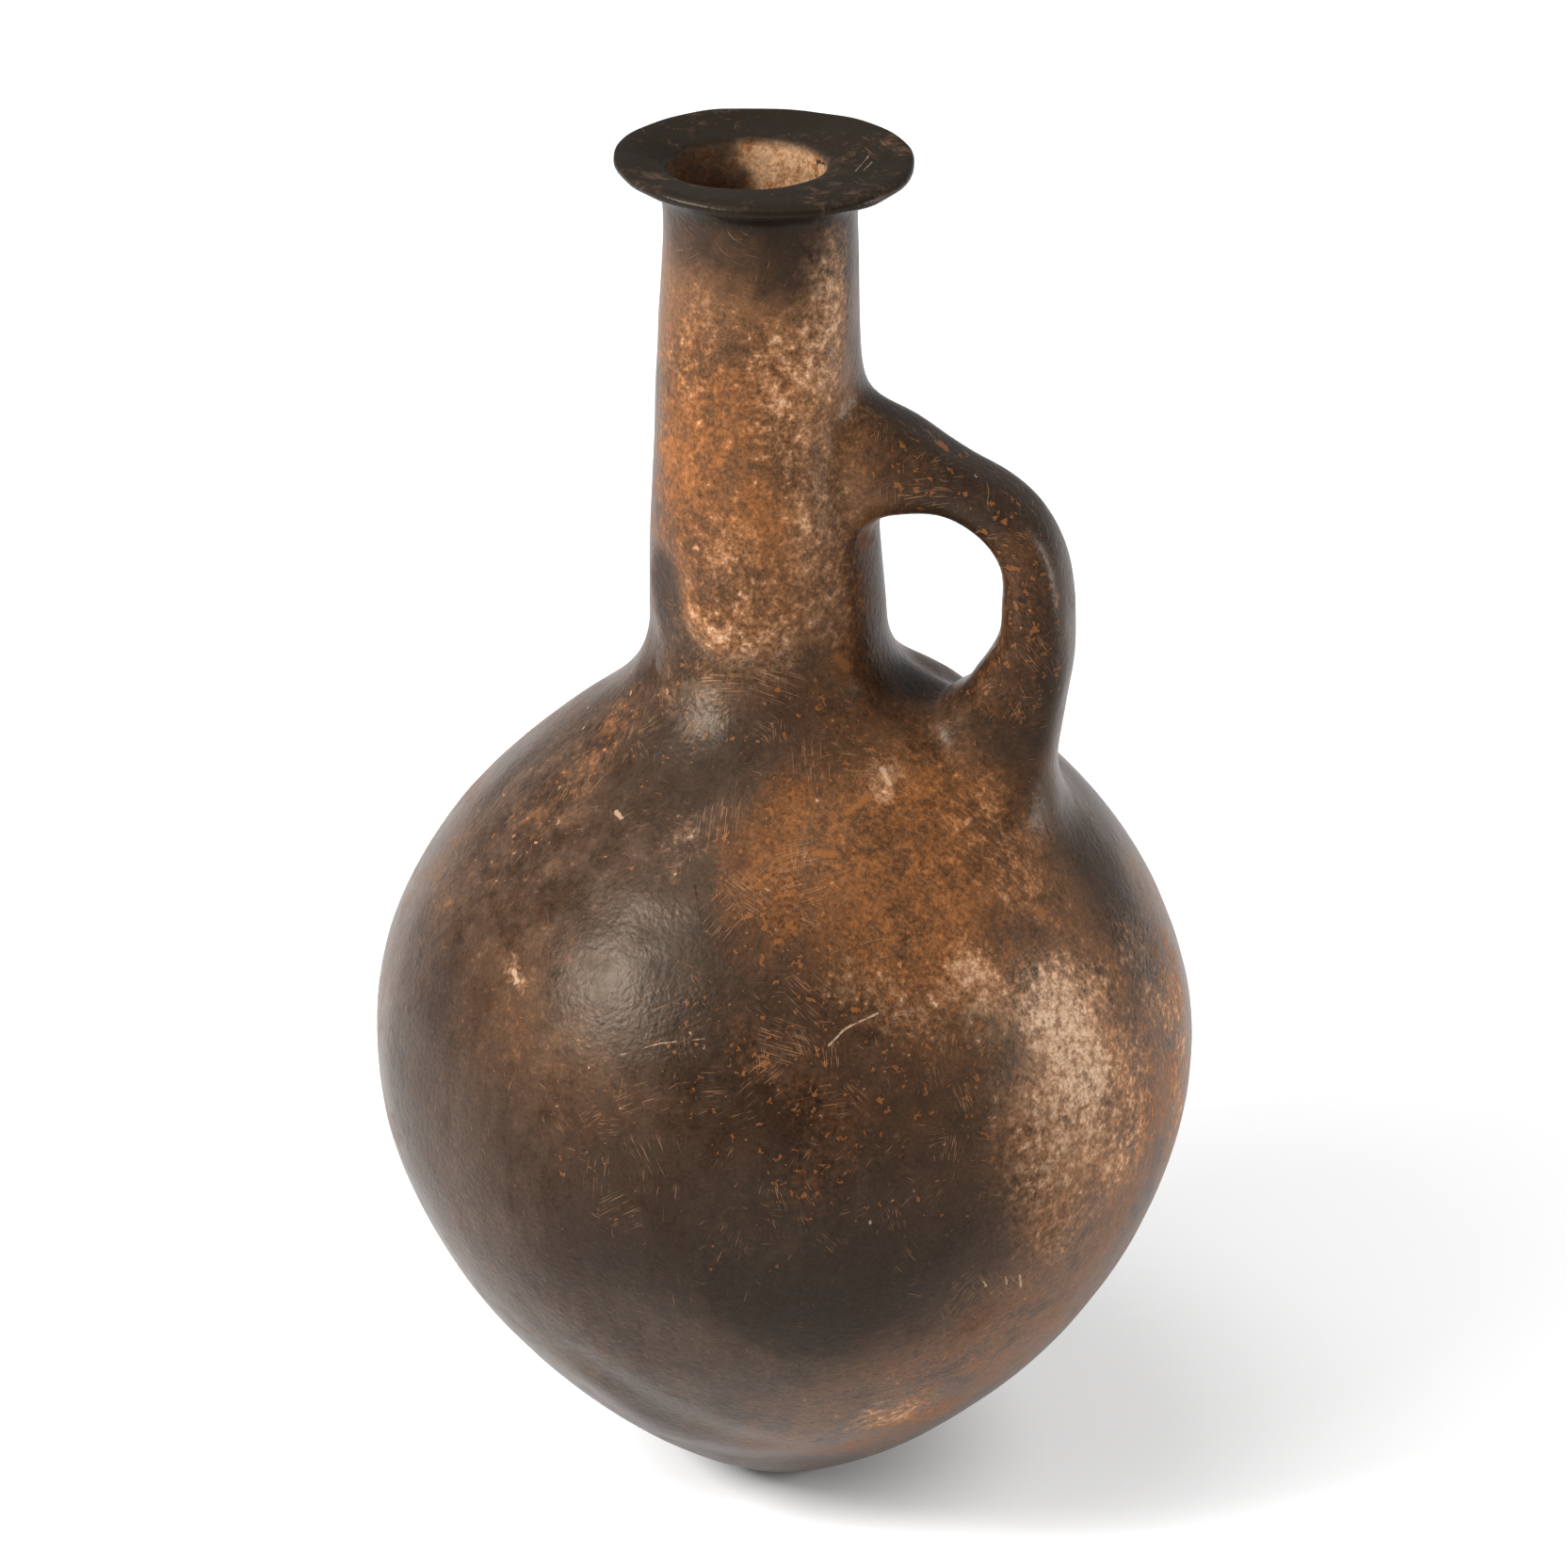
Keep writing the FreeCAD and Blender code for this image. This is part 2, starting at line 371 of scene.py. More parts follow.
def finished(name, bm, levels):
    # the cage as a mesh in metres, subdivided and applied
    bmesh.ops.recalc_face_normals(bm, faces=bm.faces[:])
    bmesh.ops.scale(bm, vec=(mm, mm, mm), verts=bm.verts[:])
    cage = bpy.data.meshes.new(name + "_cage")
    bm.to_mesh(cage)
    bm.free()
    holder = bpy.data.objects.new(name + "_cage", cage)
    bpy.context.scene.collection.objects.link(holder)
    smooth = holder.modifiers.new("smooth", "SUBSURF")
    smooth.levels = smooth.render_levels = levels
    depsgraph = bpy.context.evaluated_depsgraph_get()
    mesh = bpy.data.meshes.new_from_object(holder.evaluated_get(depsgraph))
    bpy.data.objects.remove(holder)
    bpy.data.meshes.remove(cage)
    mesh.name = name
    mesh.shade_smooth()
    piece = bpy.data.objects.new(name, mesh)
    bpy.context.scene.collection.objects.link(piece)
    return piece


def buildJug():
    bm = bmesh.new()
    outer = outline(0, 0, 0)
    spinVessel(bm, outer)
    addHandle(bm, outer)
    settleNeckAndRim(bm)
    piece = finished("jug_clay", bm, 2)
    print("jug mesh:", len(piece.data.vertices), "verts,", len(piece.data.polygons), "faces")
    return piece


# the view: a little from above, the handle turned towards the viewer
view = {
    "turn": 14.0,
    "above": 26.3,
    "aim": 0.210,
    "distance": 1.4294,
    "frameAngle": 17.0,
    "frame": 1665,
    "farthest": 20.0,
    # where else to look when the jug misses a point of the frame by a little
    "beside": ((0, 0), (0, 8), (-8, 0), (8, 0), (0, -8), (0, 16), (-16, 0), (16, 0), (0, -16)),
}


def viewWays():
    turn, above = math.radians(view["turn"]), math.radians(view["above"])
    level = math.cos(above)
    back = Vector((math.sin(turn) * level, -math.cos(turn) * level, math.sin(above)))
    right = Vector((math.cos(turn), math.sin(turn), 0))
    return right, back.cross(right), back


def viewEye():
    return Vector((0, 0, view["aim"])) + viewWays()[2] * view["distance"]


def addCamera():
    data = bpy.data.cameras.new("camera")
    data.sensor_fit = "HORIZONTAL"
    data.angle = math.radians(view["frameAngle"])
    data.clip_end = view["farthest"]
    camera = bpy.data.objects.new("camera", data)
    camera.location = viewEye()
    camera.rotation_euler = (-viewWays()[2]).to_track_quat("-Z", "Y").to_euler()
    bpy.context.scene.collection.objects.link(camera)
    bpy.context.scene.camera = camera


def seenAt(piece, x, y):
    # the place on the jug that shows at a point of the photo's frame, or just beside it
    right, up, back = viewWays()
    middle = view["frame"] / 2
    reach = middle / math.tan(math.radians(view["frameAngle"] / 2))
    for aside, down in view["beside"]:
        ray = right * (x + aside - middle) + up * (middle - y - down) - back * reach
        hit, place, normal, face = piece.ray_cast(viewEye(), ray.normalized())
        if hit:
            return place
    raise ValueError("nothing shows at %s, %s" % (x, y))


def roundAt(piece, turn, height):
    # the place on the outside at a turn from the handle in degrees and a height in mm
    outward = Vector((math.cos(math.radians(turn)), math.sin(math.radians(turn)), 0))
    wellOutside = Vector((axisShift(height), 0, height)) * mm + outward * 0.3
    hit, place, normal, face = piece.ray_cast(wellOutside, -outward)
    return place


lineStep = 2.0      # mm between the places that a line is filled in with
softEdge = 1.6      # a soft mark or patch fades out at this many of its half widths


def traced(places):
    # a line of places with more between them
    filled = [places[0]]
    for a, b in zip(places, places[1:]):
        steps = max(1, round((b - a).length / (lineStep * mm)))
        filled += [a.lerp(b, (k + 1) / steps) for k in range(steps)]
    return filled


def reached(tree, places, width):
    # points within a width of the line, each with its share: 1 on the line, 0 at the width
    shares = {}
    for place in places:
        for co, index, distance in tree.find_range(place, width):
            share = 1 - distance / width
            if share > shares.get(index, 0):
                shares[index] = share
    return shares


# soft shapes pressed in or standing out: the line in the photo's frame, half width and
# rise in mm, below nought for a dent
handMarks = {
    "neckLobe": (((880, 250), (880, 320), (872, 400)), 10, 1.3),
    "neckHollow": (((842, 270), (838, 400)), 9, -0.5),
    "neckBulge": (((706, 350), (706, 400)), 14, 0.5),
    "sootyGroove": (((708, 610), (716, 660), (738, 700)), 8, -1.3),
    "rootCrease": (((700, 704), (740, 714), (800, 714), (880, 722)), 5, -0.5),
    "leftCorner": (((694, 684), (700, 692)), 9, -1.2),
    "handleSeam": (((898, 432), (884, 470), (880, 510), (888, 560)), 5, -0.9),
    "handleSeamLip": (((874, 400), (864, 450), (862, 510), (868, 560)), 7, 1.0),
    "jointHollow": (((930, 470), (915, 520)), 9, -0.5),
    "lowerGroove": (((1102, 735), (1092, 770), (1074, 812)), 6, -1.1),
    "rootSpread": (((1050, 812), (1085, 838), (1110, 838)), 10, 0.8),
    "webHollow": (((1000, 740), (1040, 735)), 12, 0.8),
    "webLump": (((984, 708), (1012, 716)), 11, 1.6),
    "webFill": (((1010, 728), (1032, 736), (1052, 722)), 12, 1.8),
    "strapInside": (((1068, 660), (1068, 690), (1056, 712)), 10, 2.2),
    "shoulderRidge": (((690, 948), (724, 962), (744, 990)), 9, 0.5),
    "shoulderSlot": (((694, 985), (722, 975)), 4, -0.35),
    "lowLeftDent": (((640, 1392), (688, 1424)), 14, -0.6),
    "baseShelf": (((630, 1452), (700, 1496), (790, 1530)), 9, -0.8),
    "baseEdge": (((640, 1478), (700, 1518)), 8, 0.5),
    "baseFlat": (((780, 1548), (850, 1553)), 14, -1.2),
    "rightLowDent": (((1170, 1290), (1210, 1240)), 12, -0.5),
    "patchHollow": (((1120, 1120), (1150, 1150)), 16, -0.4),
    "mouthDip": (((714, 168), (722, 184)), 8, -1.3),
    "flangeHollow": (((720, 140), (790, 124), (860, 130)), 9, -0.8),
    "flangeRight": (((935, 172), (925, 192)), 9, -0.6),
    "lipFront": (((720, 206), (790, 216)), 6, 0.4),
    "lipRight": (((930, 205), (960, 190)), 7, 0.5),
    "lipLeft": (((662, 172), (668, 190)), 6, 0.4),
}

# unevenness left by the hands, in mm
handWork = {
    "lumps": ((75, 0.5, 3.1), (28, 0.28, 7.7), (11, 0.12, 1.9)),    # size, height, seed
    "rimLumps": 1.2,            # how much more of them the rim has
    "rim": (378.0, 384.0),
    "sag": 0.012,               # the body hangs lower on the viewer's right
    "sagEnds": (240.0, 190.0),  # and this is where that fades out and is whole
    "flat": 4.0,                # none of it below this height, so that the foot stands flat
}
# the foot's edge curls up from a radius, more on the left
footRound = {"from": 11.0, "below": 6.0, "curve": 0.017, "aside": 0.8}


def workClay(piece, tree):
    mesh = piece.data
    normals = [v.normal.copy() for v in mesh.vertices]
    rises = [0.0] * len(mesh.vertices)
    for line, width, rise in handMarks.values():
        places = traced([seenAt(piece, x, y) for x, y in line])
        for index, share in reached(tree, places, width * softEdge * mm).items():
            rises[index] += rise * eased(share)
    for vert in mesh.vertices:
        uneven = sum(noise.noise(vert.co / (size * mm) + Vector((seed, seed, seed))) * height
                     for size, height, seed in handWork["lumps"])
        onRim = ramp(vert.co.z / mm, *handWork["rim"])
        rises[vert.index] += uneven * (1 + handWork["rimLumps"] * onRim)
    right = viewWays()[0]
    for vert in mesh.vertices:
        away, aside = vert.co.xy.length / mm, vert.co.dot(right) / mm
        if vert.co.z < footRound["below"] * mm and away > footRound["from"]:
            curl = footRound["curve"] * (away - footRound["from"]) ** 2
            vert.co.z = max(vert.co.z, curl * (1 - footRound["aside"] * aside / away) * mm)
    for vert, normal, rise in zip(mesh.vertices, normals, rises):
        height = vert.co.z / mm
        free = ramp(height, 0, handWork["flat"])
        sag = handWork["sag"] * ramp(height, *handWork["sagEnds"])
        vert.co.z -= sag * vert.co.dot(right) * free
        vert.co += normal * rise * free * mm
        vert.co.z = max(vert.co.z, 0)
    mesh.update()
    print("hand marks:", len(handMarks))


# where each tone of the clay lies. Each patch has its half width in mm, its strength and its
# line: in the photo's frame for "seen", as degrees from the handle and height for "around"
clayPatches = {
    "orange": {
        "seen": (
            (38, 0.75, ((985, 900), (970, 980))), (24, 0.6, ((1040, 880), (1060, 950))),
            (24, 0.4, ((900, 930), (900, 1020))), (8, 1.0, ((838, 845), (820, 890), (828, 980))),
            (10, 0.7, ((790, 900), (800, 1000))), (16, 0.12, ((470, 950), (462, 1030))),
            (20, 0.15, ((500, 1090), (560, 1150))), (12, 0.35, ((560, 860), (612, 820))),
            (8, 0.4, ((640, 790), (668, 740))), (10, 0.25, ((700, 1060), (740, 1080))),
            (14, 0.5, ((800, 1110), (850, 1150))), (9, 0.6, ((840, 1150), (870, 1190))),
            (20, 0.72, ((738, 405), (730, 450), (735, 500), (730, 560))),
            (17, 0.6, ((800, 400), (805, 470), (775, 590), (800, 650))),
            (9, 0.8, ((740, 650), (800, 680))), (7, 0.9, ((893, 690), (897, 712))),
            (13, 0.5, ((900, 590), (915, 660), (900, 760))), (10, 0.55, ((925, 480), (960, 500))),
            (12, 0.6, ((1078, 590), (1085, 690), (1068, 750))),
            (12, 0.3, ((980, 495), (1050, 540))),
            (14, 0.65, ((905, 1536), (985, 1505))), (18, 0.5, ((1000, 1460), (1070, 1400))),
            (16, 0.6, ((1230, 1000), (1246, 1110))), (12, 0.6, ((1085, 1215), (1110, 1290))),
            (12, 0.5, ((870, 1250), (900, 1180))), (12, 0.6, ((1060, 1040), (1090, 1000))),
            (18, 0.6, ((1180, 1060), (1210, 1180))),
        ),
        "around": ((30, 0.7, ((70, 190), (95, 170))), (26, 0.6, ((150, 120), (170, 90))),
                   (30, 0.6, ((165, 60), (150, 80))), (18, 0.8, ((120, 300), (140, 340))),
                   (22, 0.5, ((130, 215), (165, 205))), (20, 0.5, ((30, 70), (55, 55)))),
    },
    "tan": {
        "seen": (
            (15, 0.95, ((1120, 1075), (1145, 1120), (1150, 1140))),
            (24, 0.65, ((1130, 1160), (1130, 1210))), (16, 0.5, ((1190, 1130), (1190, 1220))),
            (14, 0.5, ((1100, 1260), (1130, 1300))), (10, 0.6, ((1110, 1050), (1160, 1050))),
            (14, 0.5, ((1205, 1000), (1240, 1060))), (12, 0.45, ((1248, 1060), (1254, 1160))),
            (12, 0.6, ((1050, 1070), (1035, 1045))), (8, 0.25, ((730, 885), (720, 908))),
            (4, 0.35, ((545, 1030), (550, 1044))), (8, 0.25, ((715, 740), (750, 742))),
            (12, 0.55, ((730, 675), (820, 690))), (14, 0.35, ((770, 590), (800, 640))),
            (10, 0.3, ((745, 345), (730, 400))), (7, 0.2, ((720, 610), (745, 640))),
            (13, 0.4, ((860, 440), (875, 560), (880, 660))), (8, 0.35, ((900, 430), (925, 440))),
            (10, 0.5, ((930, 1505), (960, 1498))), (6, 0.5, ((940, 820), (935, 840))),
            # the first patch on the next line, a pale streak down the neck's lobe, is a painted
            # highlight
            (9, 0.6, ((878, 262), (880, 330), (872, 400))), (10, 0.4, ((905, 1050), (980, 1080))),
            (14, 0.25, ((1040, 870), (1090, 950))), (12, 0.42, ((830, 380), (840, 460))),
        ),
        "around": ((12, 0.5, ((20, 135), (29, 105), (24, 85))), (14, 0.6, ((110, 130), (120, 100))),
                   (16, 0.6, ((160, 170), (150, 150))), (12, 0.5, ((150, 320), (150, 340)))),
    },
    "warm": {
        "seen": (
            (60, 0.9, ((980, 950), (1100, 1100))), (44, 0.9, ((1200, 1150), (1090, 1400))),
            (34, 0.8, ((1000, 1450), (900, 1520))), (32, 1.0, ((760, 350), (780, 640))),
            (24, 1.0, ((880, 400), (880, 660))), (24, 0.7, ((900, 700), (920, 800))),
            (30, 0.3, ((560, 860), (480, 1000))), (30, 0.42, ((530, 1080), (600, 1160))),
            (30, 0.4, ((640, 1230), (760, 1180))), (24, 0.8, ((1225, 960), (1250, 1200))),
            (14, 0.6, ((930, 500), (960, 510))),
        ),
        "around": ((60, 0.6, ((90, 150), (150, 150))), (40, 0.6, ((170, 90), (130, 60))),
                   (30, 0.7, ((130, 280), (140, 350)))),
    },
    # soot, and painted shade along the crease of the handle's seam
    "sootAndShade": {
        "seen": (
            (22, 1.0, ((800, 1370), (860, 1400))), (22, 0.5, ((700, 1400), (760, 1450))),
            (48, 0.8, ((700, 1300), (860, 1330), (980, 1310))),
            (18, 0.7, ((1020, 1112), (1050, 1118))), (10, 0.8, ((1000, 1195), (1030, 1192))),
            (17, 0.75, ((1140, 880), (1190, 960), (1210, 1000))),
            (12, 0.8, ((1190, 945), (1205, 985))), (12, 0.6, ((1120, 850), (1150, 900))),
            (9, 0.6, ((1060, 985), (1095, 992))), (9, 1.0, ((706, 610), (712, 660), (732, 700))),
            (7, 0.8, ((745, 705), (800, 712), (860, 700))), (14, 0.95, ((850, 240), (832, 275))),
            (7, 0.6, ((901, 236), (905, 265))), (13, 0.8, ((728, 248), (800, 266))),
            (12, 1.0, ((925, 415), (1000, 455), (1060, 500), (1110, 560))),
            (20, 0.92, ((970, 480), (1050, 535))), (9, 0.8, ((965, 718), (1030, 728))),
            (16, 0.8, ((1085, 590), (1100, 700), (1085, 780))),
            (8, 0.9, ((1105, 740), (1095, 780))), (9, 0.7, ((1075, 745), (1060, 760))),
            (14, 0.5, ((1000, 740), (1050, 770))),
            (16, 0.6, ((760, 900), (740, 960), (770, 1040))), (24, 0.7, ((455, 1070), (430, 1160))),
            (44, 0.8, ((770, 1060), (860, 1150), (940, 1200))), (14, 0.5, ((780, 790), (810, 880))),
            (30, 0.65, ((740, 800), (860, 760))), (16, 0.5, ((1090, 1320), (1130, 1300))),
            (12, 0.7, ((1130, 550), (1138, 700))), (8, 0.7, ((1100, 850), (1085, 800))),
            (12, 0.6, ((660, 1400), (640, 1390))),
            (46, 0.5, ((540, 1260), (640, 1380))), (40, 0.55, ((470, 1120), (520, 1220))),
            # a thin dark line along the crease where the handle meets the neck: painted shade
            (3.5, 0.35, ((898, 432), (884, 470), (880, 515), (888, 560))),
        ),
        "around": ((34, 0.9, ((175, 100), (180, 60))), (30, 0.7, ((100, 60), (120, 90))),
                   (20, 0.8, ((60, 240), (80, 225))), (24, 0.7, ((140, 215), (120, 200))),
                   (14, 0.8, ((180, 300), (180, 260))), (12, 0.9, ((0, 310), (0, 320)))),
    },
    "worn": {
        "seen": (
            (30, 0.9, ((900, 1090), (990, 1110), (1010, 1160))),
            (22, 0.7, ((620, 1180), (640, 1230))),
            (22, 0.8, ((790, 1180), (760, 1120))), (20, 0.8, ((850, 1250), (880, 1200))),
            (22, 0.7, ((560, 880), (600, 830), (650, 770))), (22, 0.9, ((735, 745), (840, 740))),
            (20, 0.9, ((820, 920), (850, 1020))), (18, 0.7, ((700, 900), (740, 880))),
            (34, 0.45, ((760, 330), (800, 500), (760, 660))),
            (30, 0.5, ((1130, 1100), (1150, 1220))),
            (20, 0.6, ((930, 830), (900, 870))), (18, 0.9, ((1110, 600), (1100, 720))),
            (20, 0.9, ((980, 480), (1040, 520), (1080, 580))), (14, 0.6, ((920, 170), (890, 175))),
            (18, 0.5, ((940, 1480), (980, 1500))), (12, 0.7, ((1000, 740), (1040, 750))),
            (14, 0.6, ((1070, 1370), (1040, 1360))), (16, 0.7, ((960, 1290), (1000, 1240))),
            (16, 0.5, ((870, 600), (900, 700))), (16, 0.5, ((880, 280), (880, 400))),
        ),
        "around": ((30, 0.8, ((60, 150), (90, 120))), (30, 0.8, ((140, 180), (165, 160))),
                   (24, 0.7, ((120, 240), (130, 300))), (24, 0.7, ((100, 80), (120, 70)))),
    },
}

patchCore = 1.2     # a patch is whole before its middle line is reached
smokedRim = (377.0, 381.0)      # heights between which the neck's clay gives way to the rim's

# the bare clay inside, in mm
clayInside = {
    "throat": (387.4, 384.9),   # heights between which the mouth's wall turns pale
    "bore": 21.8,               # radius of the inside within the rim
    "skin": 3.0,                # below it, all that is further in than this from the outline
    "floor": 3.0,               # and above this height
    "shadedThroatTurn": 200.0,         # degrees from +X to the side of the throat darkened with painted shade
    "shadedThroatFade": (-0.14, 0.10),
}


def paintPatches(piece, tree):
    # one attribute for each tone, from its patches, plus where the rim and the inside are, and
    # painted shade on one side of the throat
    mesh = piece.data
    for tone, patches in clayPatches.items():
        lines = [(width, most, [seenAt(piece, x, y) for x, y in line])
                 for width, most, line in patches["seen"]]
        lines += [(width, most, [roundAt(piece, turn, height) for turn, height in line])
                  for width, most, line in patches["around"]]
        amounts = [0.0] * len(mesh.vertices)
        for width, most, line in lines:
            for index, share in reached(tree, traced(line), width * softEdge * mm).items():
                amounts[index] = max(amounts[index], most * min(1, eased(share) * patchCore))
        mesh.attributes.new(tone, "FLOAT", "POINT").data.foreach_set("value", amounts)
    outer = outline(0, 0, 0)
    neckTop, mouthFoot = vessel["neckHeight"], vessel["rim"][-1][1]
    rims, insides = [], []
    paintedThroatShade = mesh.attributes["sootAndShade"].data
    for vert in mesh.vertices:
        # from the vessel's axis, which above the neck is the middle of the mouth
        x, y, z = vert.co / mm
        x -= axisShift(z) - vessel["mouthShift"] * ramp(z, neckTop, mouthFoot)
        bore = clayInside["bore"] if z > neckTop else radiusAt(outer, z) - clayInside["skin"]
        within = math.hypot(x, y) < bore and z > clayInside["floor"]
        rims.append(ramp(z, *smokedRim))
        insides.append(ramp(z, *clayInside["throat"]) if within else 0.0)
        # the throat's wall on the shaded side gets the soot tone: painted shade
        if insides[-1] > 0:
            facing = math.cos(math.atan2(y, x) - math.radians(clayInside["shadedThroatTurn"]))
            paintedThroatShade[vert.index].value = ramp(facing, *clayInside["shadedThroatFade"])
    mesh.attributes.new("rim", "FLOAT", "POINT").data.foreach_set("value", rims)
    mesh.attributes.new("inside", "FLOAT", "POINT").data.foreach_set("value", insides)
    print("clay painted:", ", ".join(clayPatches))


# fired, burnished clay: linear colours
clay = {
    "umber": (0.027, 0.0125, 0.006, 1),
    "greyBrown": (0.070, 0.042, 0.027, 1),
    "warmBrown": (0.122, 0.057, 0.026, 1),
    "rust": (0.205, 0.075, 0.022, 1),
    "russet": (0.076, 0.030, 0.011, 1),
    "cream": (0.520, 0.345, 0.225, 1),
    "peach": (0.345, 0.175, 0.087, 1),
    # also the tone of painted shade in the throat and along the handle's seam
    "sootAndShade": (0.012, 0.008, 0.006, 1),
    "rimBlack": (0.008, 0.006, 0.004, 1),
    "rimBrown": (0.068, 0.040, 0.025, 1),
    "throat": (0.295, 0.172, 0.092, 1),
    "sheen": (1.0, 0.84, 0.67, 1),      # tint of its gloss
    "burnished": 0.335,     # roughness where the slip is whole
    "dull": 0.75,           # and where it is worn
    "gloss": 0.125,         # specular level
    # how much each layer hides of what is under it
    "cover": {"orange": 0.9, "tan": 0.85, "sootAndShade": 0.88, "flakes": 0.6, "strokes": 0.45,
              "rim": 0.94, "rusty": 0.8, "pale": 0.5, "hole": 0.9},
    # sheaves of scratches: mm across a sheaf, a scratch's width and length, and a seed
    "sheaves": ((17, 0.4, 11.0, 2.0), (9, 0.32, 6.0, 4.0)),
    "scratched": 1.66,      # fewer scratches when higher
    "bend": 5.0,            # how much they curve
    # rise and fall in mm: lumps, sand, more of it where it is worn, and pits
    "bumps": {"lumps": 0.020, "sand": 0.028, "tan": 0.04, "orange": 0.02, "pits": -0.07},
}

# single marks: kind, line in the photo's frame, half width in mm
clayMarks = (
    ("hole", ((706, 1478), (729, 1486)), 0.9),
    ("hole", ((866, 1531), (872, 1527)), 0.8),
    ("hole", ((899, 335), (902, 340)), 0.8),
    ("hole", ((1103, 848), (1108, 868), (1116, 892)), 0.5),
    ("hole", ((634, 1086), (648, 1088)), 0.5),
    ("hole", ((738, 940), (745, 985)), 0.45),
    ("hole", ((868, 172), (884, 176)), 0.5),
    ("pale", ((660, 1120), (700, 1108), (748, 1103)), 0.14),
    ("pale", ((1068, 1356), (1069, 1364)), 0.25),
    ("pale", ((1083, 1354), (1084, 1366)), 0.4),
    ("pale", ((1045, 1361), (1047, 1366)), 0.35),
    ("pale", ((924, 1297), (924, 1299)), 0.5),
    ("pale", ((545, 1031), (549, 1042)), 0.9),
    ("pale", ((880, 1110), (898, 1092), (932, 1076)), 0.3),
    ("pale", ((938, 818), (944, 832)), 0.9),
    ("pale", ((655, 863), (659, 869)), 0.8),
    ("pale", ((908, 182), (922, 166)), 0.13),
    ("pale", ((917, 181), (926, 172)), 0.12),
    ("rusty", ((899, 864), (922, 846)), 1.0),
    ("rusty", ((866, 906), (884, 907)), 1.1),
    ("rusty", ((1104, 968), (1106, 972)), 1.8),
    ("rusty", ((998, 471), (1004, 476)), 1.5),
    ("rusty", ((888, 698), (900, 708)), 1.5),
)


def clayMaterial(piece):
    material = bpy.data.materials.new("burnished_clay")
    material.use_nodes = True
    tree = material.node_tree
    shader = tree.nodes["Principled BSDF"]
    cover = clay["cover"]

    def node(kind, values, out=0, **settings):
        made = tree.nodes.new(kind)
        for name, value in settings.items():
            setattr(made, name, value)
        for socket, value in values.items():
            if isinstance(value, bpy.types.NodeSocket):
                tree.links.new(value, made.inputs[socket])
            else:
                made.inputs[socket].default_value = value
        return made.outputs[out]

    def calc(operation, *values, clamp=False):
        return node("ShaderNodeMath", dict(enumerate(values)), operation=operation, use_clamp=clamp)

    def total(*parts):
        result = parts[0]
        for part in parts[1:]:
            result = calc("ADD", result, part)
        return result

    def vector(operation, *values, out=0):
        return node("ShaderNodeVectorMath", dict(enumerate(values)), out, operation=operation)

    def blend(factor, first, second):
        return node("ShaderNodeMix", {0: factor, 6: first, 7: second}, 2, data_type="RGBA")

    def steps(value, low, high):
        # 0 below low, 1 above high, eased between
        return node("ShaderNodeMapRange", {"Value": value, "From Min": low, "From Max": high},
                    interpolation_type="SMOOTHSTEP")

    place = node("ShaderNodeTexCoord", {}, "Object")

    def moved(seed, stretch=(1, 1, 1)):
        return node("ShaderNodeMapping", {"Vector": place, "Location": (seed, seed * 0.7, -seed),
                                          "Scale": stretch})

    def grain(size, detail=2.0, where=place):
        # noise whose lumps are about so many mm across, from about -1 to 1
        made = node("ShaderNodeTexNoise", {"Vector": where, "Scale": 600 / size, "Detail": detail,
                                           "Roughness": 0.6})
        return calc("MULTIPLY_ADD", made, 5.0, -2.5)

    def painted(name):
        return node("ShaderNodeAttribute", {}, "Fac", attribute_name=name)

    def times(value, amount):
        return calc("MULTIPLY", value, amount)

    broad, middling, small = grain(34), grain(14, 3.0), grain(3.2, 3.0)
    fine, gritty = grain(0.9, 2.0), grain(0.45, 1.0)
    streaks = grain(4.0, 2.0, moved(6.0, (1, 1, 0.25)))
    flaky = grain(1.7, 3.0, moved(8.0))

    warm, orange, tan = painted("warm"), painted("orange"), painted("tan")
    sootAndShade, worn, rim, inside = painted("sootAndShade"), painted("worn"), painted("rim"), painted("inside")

    # smooth grey-brown slip over umber, with the strokes it was burnished with
    base = blend(steps(total(times(broad, 0.6), times(middling, 0.4), times(small, 0.15),
                             times(streaks, 0.3)), -0.8, 1.0), clay["umber"], clay["greyBrown"])
    warmMask = steps(total(warm, times(middling, 0.25), times(small, 0.15)), 0.1, 1.1)
    base = blend(warmMask, base, clay["warmBrown"])

    # the orange ground where the slip is thin, mottled with what is left of it
    rust = blend(steps(total(times(broad, 0.3), times(middling, 0.5), times(small, 0.35),
                             times(flaky, 0.45), times(fine, 0.5)), -1.3, 1.2),
                 clay["russet"], clay["rust"])
    orangeMask = steps(total(times(orange, 1.35), times(middling, 0.3), times(small, 0.15),
                             times(flaky, 0.22), times(fine, 0.12)), 0.25, 1.25)
    base = blend(times(orangeMask, cover["orange"]), base, rust)

    # cream where it is worn right through, and a painted highlight down the neck's lobe
    tanGround = blend(steps(total(tan, times(small, 0.2), times(flaky, 0.3), times(fine, 0.25)),
                            0.45, 1.25), clay["peach"], clay["cream"])
    tanMask = steps(total(times(tan, 1.4), times(middling, 0.15), times(small, 0.2),
                          times(flaky, 0.3), times(fine, 0.18)), 0.25, 1.25)
    base = blend(times(tanMask, cover["tan"]), base, tanGround)

    # bare clay inside, down from the mouth
    throatTone = blend(steps(total(small, times(fine, 0.6)), -1.4, 0.7),
                       clay["rust"], clay["throat"])
    base = blend(inside, base, throatTone)

    # soot from the fire over all of it, and painted shade in the throat and along the handle's seam
    sootAndShadeMask = steps(total(sootAndShade, times(middling, 0.28), times(small, 0.25), times(fine, 0.08)),
                     0.1, 1.15)
    base = blend(times(sootAndShadeMask, cover["sootAndShade"]), base, clay["sootAndShade"])

